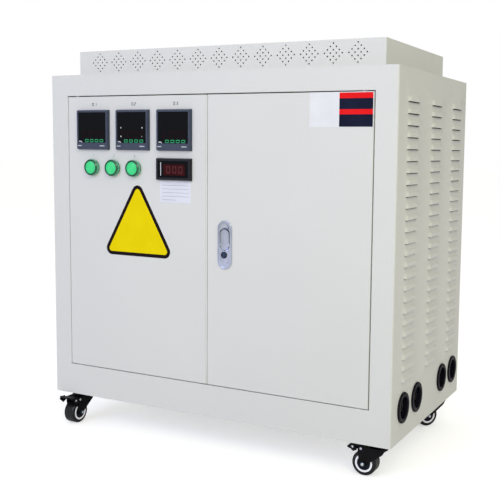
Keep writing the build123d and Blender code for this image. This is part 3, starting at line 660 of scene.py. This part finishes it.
# Flush latch: a bright plated casting set in the right door, with the lever and the housing as CAD nodes.
# The key barrel's face is a dark ring with a paler middle, turned to sit on the casting.
plated, tree, shader = new_material("latch_chrome", (0.62, 0.66, 0.76), 0.16, 1.0)
tint(tree, noise(tree, 45), (0.59, 0.63, 0.74), (0.66, 0.70, 0.79), shader.inputs["Base Color"])
vary(tree, noise(tree, 160), 0.12, 0.20, shader.inputs["Roughness"])
relief(tree, noise(tree, 600, 1.0), shader, 0.000008, 0.3)
give(plated, "latch_housing", "latch_lever")

key_dark, tree, shader = new_material("key_ring", (0.006, 0.016, 0.050), 0.3)
vary(tree, noise(tree, 400), 0.24, 0.38, shader.inputs["Roughness"])
key_blue, tree, shader = new_material("key_core", (0.012, 0.050, 0.110), 0.3, 0.4)
tint(tree, noise(tree, 700), (0.010, 0.042, 0.095), (0.018, 0.062, 0.130), shader.inputs["Base Color"])

key_x = body_left + 0.5065
key_z = body_foot + 0.3856
key_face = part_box("latch_housing")[0].y
key_steps = 48
key_ring_profile = [(0.0030, 0.0), (0.0030, 0.0007), (0.0040, 0.0012), (0.0073, 0.0012), (0.0079, 0.0008),
                    (0.0079, 0.0), (0.0030, 0.0)]
points, faces = turned(key_ring_profile, (key_x, key_face, key_z), (0, -1, 0), (1, 0, 0), key_steps)
new_piece("key_ring", mesh_of("key_ring", points, faces), key_dark, "right_door")
key_core_profile = [(0, 0), (0.0029, 0.0), (0.0029, 0.0005), (0.0024, 0.0008), (0, 0.0008)]
points, faces = turned(key_core_profile, (key_x, key_face, key_z), (0, -1, 0), (1, 0, 0), key_steps)
new_piece("key_core", mesh_of("key_core", points, faces), key_blue, "right_door")


# Cable entries: four black rubber rings pressed into holes at the foot of the right side.
# The CAD node holds their grooved form, and the rubber is dull, with a fine grain.
rubber, tree, shader = new_material("entry_rubber", (0.007, 0.007, 0.013), 0.40)
shader.inputs["Specular IOR Level"].default_value = 0.08
tint(tree, noise(tree, 60), (0.005, 0.005, 0.010), (0.009, 0.009, 0.017), shader.inputs["Base Color"])
vary(tree, noise(tree, 90), 0.32, 0.48, shader.inputs["Roughness"])
relief(tree, noise(tree, 900, 2.0), shader, 0.00005, 0.4)
give(rubber, "cable_entries")


# Castors: black coated steel plates, forks and pedals, and black tyres with a pale ring on each face.
# The axle ends, rivets and bolts are bright, and the axle nuts and the hubs' faces are dark blue.
# Only the two front castors have a brake pedal, with a folded lip and a rivet on each side of it.
castor_black, tree, shader = new_material("castor_black", (0.007, 0.006, 0.007), 0.34)
shader.inputs["Specular IOR Level"].default_value = 0.10
tint(tree, noise(tree, 120), (0.005, 0.004, 0.005), (0.009, 0.008, 0.009), shader.inputs["Base Color"])
vary(tree, noise(tree, 240), 0.26, 0.44, shader.inputs["Roughness"])
relief(tree, noise(tree, 1500, 2.0), shader, 0.00003, 0.5)
tyre_black, tree, shader = new_material("tyre_black", (0.006, 0.006, 0.008), 0.30)
shader.inputs["Specular IOR Level"].default_value = 0.40
vary(tree, noise(tree, 260), 0.24, 0.36, shader.inputs["Roughness"])
relief(tree, noise(tree, 1100, 3.0), shader, 0.00006, 0.5)
rim_white_and_painted_glow, tree, shader = new_material("rim_white_and_painted_glow", (0.86, 0.86, 0.90), 0.35)
tint(tree, noise(tree, 300), (0.84, 0.84, 0.88), (0.90, 0.90, 0.94), shader.inputs["Base Color"])
# The pale rings' emission is a painted glow that makes them look brighter; they are no lamps.
shader.inputs["Emission Color"].default_value = (0.90, 0.90, 1.0, 1)
shader.inputs["Emission Strength"].default_value = 0.15
zinc, tree, shader = new_material("bright_zinc", (0.72, 0.75, 0.80), 0.25, 1.0)
vary(tree, noise(tree, 900), 0.18, 0.34, shader.inputs["Roughness"])
hub_blue, tree, shader = new_material("hub_blue", (0.006, 0.010, 0.030), 0.35)
shader.inputs["Specular IOR Level"].default_value = 0.20
vary(tree, noise(tree, 500), 0.28, 0.42, shader.inputs["Roughness"])
nut_dark, tree, shader = new_material("nut_dark", (0.045, 0.075, 0.105), 0.35, 0.6)
vary(tree, noise(tree, 700), 0.28, 0.42, shader.inputs["Roughness"])

# Headings are in degrees, and say where each wheel trails from its swivel. Profiles are pairs of a radius and
# a height along the axis. The lip's outline gives its points along the trail and up from the cabinet's foot.
wheel_radius = 0.028
trail = 0.028
swivel_x = 0.4125
swivel_y = 0.202
bolt_reach = 0.0235
bolt_drop = 0.003
pin_trail = 0.033
pin_drop = 0.020
rivet_trail = 0.052
rivet_drop = 0.0178
headings = {"front_left": 270, "front_right": 180, "rear_right": 230, "rear_left": 300}
corners = {"front_left": (-1, -1), "front_right": (1, -1), "rear_right": (1, 1), "rear_left": (-1, 1)}
rim_profile = [(0.0157, 0.0143), (0.0157, 0.0149), (0.0163, 0.0154), (0.0197, 0.0154), (0.0202, 0.0149),
               (0.0202, 0.0143), (0.0157, 0.0143)]
hub_profile = [(0.0042, 0.0119), (0.0042, 0.0127), (0.0145, 0.0127), (0.0155, 0.0121), (0.0155, 0.0115),
               (0.0042, 0.0115)]
nut_profile = [(0, 0.0190), (0.0057, 0.0190), (0.0057, 0.0230), (0.0048, 0.0235), (0, 0.0235)]
end_profile = [(0, 0.0230), (0.0033, 0.0230), (0.0033, 0.0240), (0.0024, 0.0248), (0.0012, 0.0252),
               (0, 0.0253)]
rivet_profile = [(0, 0.0), (0.0031, 0.0), (0.0029, 0.0008), (0.0022, 0.0014), (0.0012, 0.0018), (0, 0.0019)]
bolt_profile = [(0, 0.0), (0.0050, 0.0), (0.0050, 0.0030), (0.0044, 0.0036), (0, 0.0036)]
lip_outline = [(0.0445, -0.0115), (0.0562, -0.0112), (0.0632, -0.0170), (0.0505, -0.0280), (0.0420, -0.0238)]
lip_inside = 0.0203
lip_outside = 0.0224
rim_steps = 64
hub_steps = 48
round_steps = 24
hex_steps = 6


def both_faces(profile, centre, axis, steps):
    """The same turned form on both ends of an axis through the centre, with the axis turned round between."""
    parts = [turned(profile, centre, sign * axis, (0, 0, 1), steps) for sign in (-1, 1)]
    points = np.concatenate([part[0].reshape(-1, 3) for part in parts])
    count = len(parts[0][0].reshape(-1, 3))
    return points, np.concatenate([parts[0][1], parts[1][1] + count])


for corner, heading in headings.items():
    castor = f"castor_{corner}"
    give(castor_black, f"{castor}_plate", f"{castor}_fork")
    give(tyre_black, f"{castor}_wheel")
    side_x, side_y = corners[corner]
    turn = math.radians(heading)
    away = np.array([math.cos(turn), math.sin(turn), 0])
    axle = np.array([-math.sin(turn), math.cos(turn), 0])
    swivel = np.array([side_x * swivel_x, side_y * swivel_y, body_foot])
    hub = np.array([*(swivel + trail * away)[:2], wheel_radius])

    # The pale ring and the hub's face turn with the wheel, and the nuts and axle ends stay on the fork.
    points, faces = both_faces(rim_profile, hub, axle, rim_steps)
    new_piece(f"{castor}_rims", mesh_of(castor, points, faces), rim_white_and_painted_glow, f"{castor}_wheel")
    points, faces = both_faces(hub_profile, hub, axle, hub_steps)
    new_piece(f"{castor}_hubs", mesh_of(castor, points, faces), hub_blue, f"{castor}_wheel")
    points, faces = both_faces(nut_profile, hub, axle, hex_steps)
    new_piece(f"{castor}_nuts", mesh_of(castor, points, faces), nut_dark, f"{castor}_fork")
    points, faces = both_faces(end_profile, hub, axle, round_steps)
    new_piece(f"{castor}_axle_ends", mesh_of(castor, points, faces), zinc, f"{castor}_fork")

    # Four bolts hold the plate to the cabinet's floor.
    bolts = [turned(bolt_profile, swivel + (dx, dy, -bolt_drop), (0, 0, -1), (1, 0, 0), hex_steps)
             for dx in (-bolt_reach, bolt_reach) for dy in (-bolt_reach, bolt_reach)]
    points = np.concatenate([bolt[0].reshape(-1, 3) for bolt in bolts])
    faces = np.concatenate([bolt[1] + i * len(bolts[0][0].reshape(-1, 3)) for i, bolt in enumerate(bolts)])
    new_piece(f"{castor}_bolts", mesh_of(castor, points, faces), zinc, "cabinet")

    # A pin carries the pedal on the fork, and the lips and their rivets move with the pedal.
    if side_y < 0:
        give(castor_black, f"{castor}_pedal")
        pivot = swivel + pin_trail * away - np.array([0, 0, pin_drop])
        pin_profile = [(radius, height + lip_inside) for radius, height in rivet_profile]
        points, faces = both_faces(pin_profile, pivot, axle, round_steps)
        new_piece(f"{castor}_pins", mesh_of(castor, points, faces), zinc, f"{castor}_fork")
        lips = []
        for near, far in ((lip_inside, lip_outside), (-lip_outside, -lip_inside)):
            flat, sides = prisms([lip_outline], near, far)
            lips.append(swivel + flat[:, :1] * away + flat[:, 1:2] * axle + flat[:, 2:] * np.array([0, 0, 1]))
        faces = sides + [[number + len(lips[0]) for number in face] for face in sides]
        lips_mesh = mesh_of(castor, np.concatenate(lips), faces)
        new_piece(f"{castor}_lips", lips_mesh, castor_black, f"{castor}_pedal")
        end = swivel + rivet_trail * away - np.array([0, 0, rivet_drop])
        lip_rivet = [(radius, height + lip_outside) for radius, height in rivet_profile]
        points, faces = both_faces(lip_rivet, end, axle, round_steps)
        new_piece(f"{castor}_rivets", mesh_of(castor, points, faces), zinc, f"{castor}_pedal")


# Core and coils inside: stacked core steel, windings wrapped in amber tape, dark painted clamps and rails,
# a resin terminal board, and the angle frame round the floor. They are the CAD nodes with their finishes.
core_steel, tree, shader = new_material("core_steel", (0.16, 0.16, 0.17), 0.45, 0.7)
layers = tree.nodes.new("ShaderNodeTexWave")
layers.bands_direction = "Y"
layers.inputs["Scale"].default_value = 300
place = tree.nodes.new("ShaderNodeTexCoord")
tree.links.new(place.outputs["Object"], layers.inputs["Vector"])
tint(tree, layers.outputs["Fac"], (0.10, 0.10, 0.11), (0.20, 0.20, 0.21), shader.inputs["Base Color"])
relief(tree, layers.outputs["Fac"], shader, 0.0002, 0.5)
give(core_steel, "core")

coil_tape, tree, shader = new_material("coil_tape", (0.40, 0.18, 0.06), 0.4)
wraps = tree.nodes.new("ShaderNodeTexWave")
wraps.bands_direction = "Z"
wraps.inputs["Scale"].default_value = 60
place = tree.nodes.new("ShaderNodeTexCoord")
tree.links.new(place.outputs["Object"], wraps.inputs["Vector"])
tint(tree, wraps.outputs["Fac"], (0.28, 0.11, 0.035), (0.46, 0.21, 0.07), shader.inputs["Base Color"])
relief(tree, wraps.outputs["Fac"], shader, 0.0006, 0.6)
give(coil_tape, "left_coil", "middle_coil", "right_coil")

clamp_paint, tree, shader = new_material("clamp_paint", (0.045, 0.050, 0.055), 0.45)
tint(tree, noise(tree, 20), (0.038, 0.042, 0.048), (0.055, 0.060, 0.066), shader.inputs["Base Color"])
relief(tree, noise(tree, 500, 2.0), shader, 0.00006, 0.4)
give(clamp_paint, "bottom_clamps", "top_clamps", "core_rails", "base_frame")

board_resin, tree, shader = new_material("board_resin", (0.42, 0.30, 0.14), 0.5)
tint(tree, noise(tree, 90), (0.36, 0.25, 0.11), (0.47, 0.34, 0.16), shader.inputs["Base Color"])
relief(tree, noise(tree, 800, 2.0), shader, 0.00008, 0.4)
give(board_resin, "terminal_board")


# Floor, light and camera. The floor is a pale slab that keeps the shadow, and the world is white to the
# camera. Bright surfaces mirror a studio that fades towards its back, and two soft lamps light the front
# and the side.
floor_size = 30.0
floor_top = -0.0002
floor_foot = -0.01
points, faces = box_points((-floor_size, -floor_size, floor_foot), (floor_size, floor_size, floor_top))
floor_mesh = mesh_of("floor", points, faces)
floor = bpy.data.objects.new("floor", floor_mesh)
bpy.context.scene.collection.objects.link(floor)
floor_white, tree, shader = new_material("floor_white", (0.82, 0.82, 0.82), 0.9)
path = tree.nodes.new("ShaderNodeLightPath")
glow = tree.nodes.new("ShaderNodeEmission")
glow.inputs["Strength"].default_value = 0.52
none = tree.nodes.new("ShaderNodeEmission")
none.inputs["Strength"].default_value = 0
pick = tree.nodes.new("ShaderNodeMixShader")
both = tree.nodes.new("ShaderNodeAddShader")
output = tree.nodes["Material Output"]
tree.links.new(path.outputs["Is Camera Ray"], pick.inputs["Fac"])
tree.links.new(none.outputs["Emission"], pick.inputs[1])
tree.links.new(glow.outputs["Emission"], pick.inputs[2])
tree.links.new(shader.outputs["BSDF"], both.inputs[0])
tree.links.new(pick.outputs["Shader"], both.inputs[1])
tree.links.new(both.outputs["Shader"], output.inputs["Surface"])
floor_mesh.materials.append(floor_white)

world = bpy.data.worlds.new("studio")
bpy.context.scene.world = world
world.use_nodes = True
tree = world.node_tree
ambient = tree.nodes["Background"]
ambient.inputs["Color"].default_value = (1.0, 0.991, 0.960, 1)
ambient.inputs["Strength"].default_value = 0.605
studio = tree.nodes.new("ShaderNodeBackground")
view = tree.nodes.new("ShaderNodeNewGeometry")
facing = tree.nodes.new("ShaderNodeVectorMath")
facing.operation = "DOT_PRODUCT"
facing.inputs[1].default_value = (-0.35, 0.94, 0.0)
falloff = tree.nodes.new("ShaderNodeMapRange")
falloff.interpolation_type = "SMOOTHSTEP"
falloff.inputs["From Min"].default_value = -0.1
falloff.inputs["From Max"].default_value = 0.8
falloff.inputs["To Min"].default_value = 0.25
falloff.inputs["To Max"].default_value = 1.0
tree.links.new(view.outputs["Incoming"], facing.inputs[0])
tree.links.new(facing.outputs["Value"], falloff.inputs["Value"])
tree.links.new(falloff.outputs["Result"], studio.inputs["Strength"])
backdrop = tree.nodes.new("ShaderNodeBackground")
backdrop.inputs["Color"].default_value = (1, 1, 1, 1)
backdrop.inputs["Strength"].default_value = 1.0
path = tree.nodes.new("ShaderNodeLightPath")
seen = tree.nodes.new("ShaderNodeMath")
seen.operation = "MAXIMUM"
mirrored = tree.nodes.new("ShaderNodeMixShader")
pick = tree.nodes.new("ShaderNodeMixShader")
tree.links.new(path.outputs["Is Camera Ray"], seen.inputs[0])
tree.links.new(path.outputs["Is Transmission Ray"], seen.inputs[1])
tree.links.new(path.outputs["Is Glossy Ray"], mirrored.inputs["Fac"])
tree.links.new(ambient.outputs["Background"], mirrored.inputs[1])
tree.links.new(studio.outputs["Background"], mirrored.inputs[2])
tree.links.new(seen.outputs["Value"], pick.inputs["Fac"])
tree.links.new(mirrored.outputs["Shader"], pick.inputs[1])
tree.links.new(backdrop.outputs["Background"], pick.inputs[2])
tree.links.new(pick.outputs["Shader"], tree.nodes["World Output"].inputs["Surface"])


def soft_light(name, place, target, size, power, colour):
    """A square soft lamp that faces a point."""
    lamp = bpy.data.lights.new(name, "AREA")
    lamp.shape = "SQUARE"
    lamp.size = size
    lamp.energy = power
    lamp.color = colour
    holder = bpy.data.objects.new(name, lamp)
    holder.location = place
    holder.rotation_euler = (Vector(target) - Vector(place)).to_track_quat("-Z", "Y").to_euler()
    bpy.context.scene.collection.objects.link(holder)


soft_light("front_soft_light", (-1.3, -4.1, 2.4), (0, 0, 0.45), 2.4, 65.5, (0.550, 0.590, 0.985))
soft_light("side_soft_light", (1.9, -2.2, 2.35), (0, 0, 0.6), 1.3, 27, (1.0, 0.99, 0.67))

camera_data = bpy.data.cameras.new("camera")
camera = bpy.data.objects.new("camera", camera_data)
bpy.context.scene.collection.objects.link(camera)
bpy.context.scene.camera = camera
camera_data.sensor_width = 36
camera_data.lens = 60.2
camera_data.shift_x = -0.1118
camera_data.shift_y = -0.034
camera_place = Vector((1.0420, -1.8636, 0.7087))
yaw, pitch, roll = (math.radians(angle) for angle in (-26.06, 5.71, 0.784))
forward = Vector((math.sin(yaw) * math.cos(pitch), math.cos(yaw) * math.cos(pitch), -math.sin(pitch)))
level_right = Vector((math.cos(yaw), -math.sin(yaw), 0))
level_up = level_right.cross(forward)
right = math.cos(roll) * level_right + math.sin(roll) * level_up
up = -math.sin(roll) * level_right + math.cos(roll) * level_up
camera.matrix_world = Matrix.Translation(camera_place) @ Matrix((right, up, -forward)).transposed().to_4x4()

bpy.context.scene.view_settings.view_transform = "Standard"
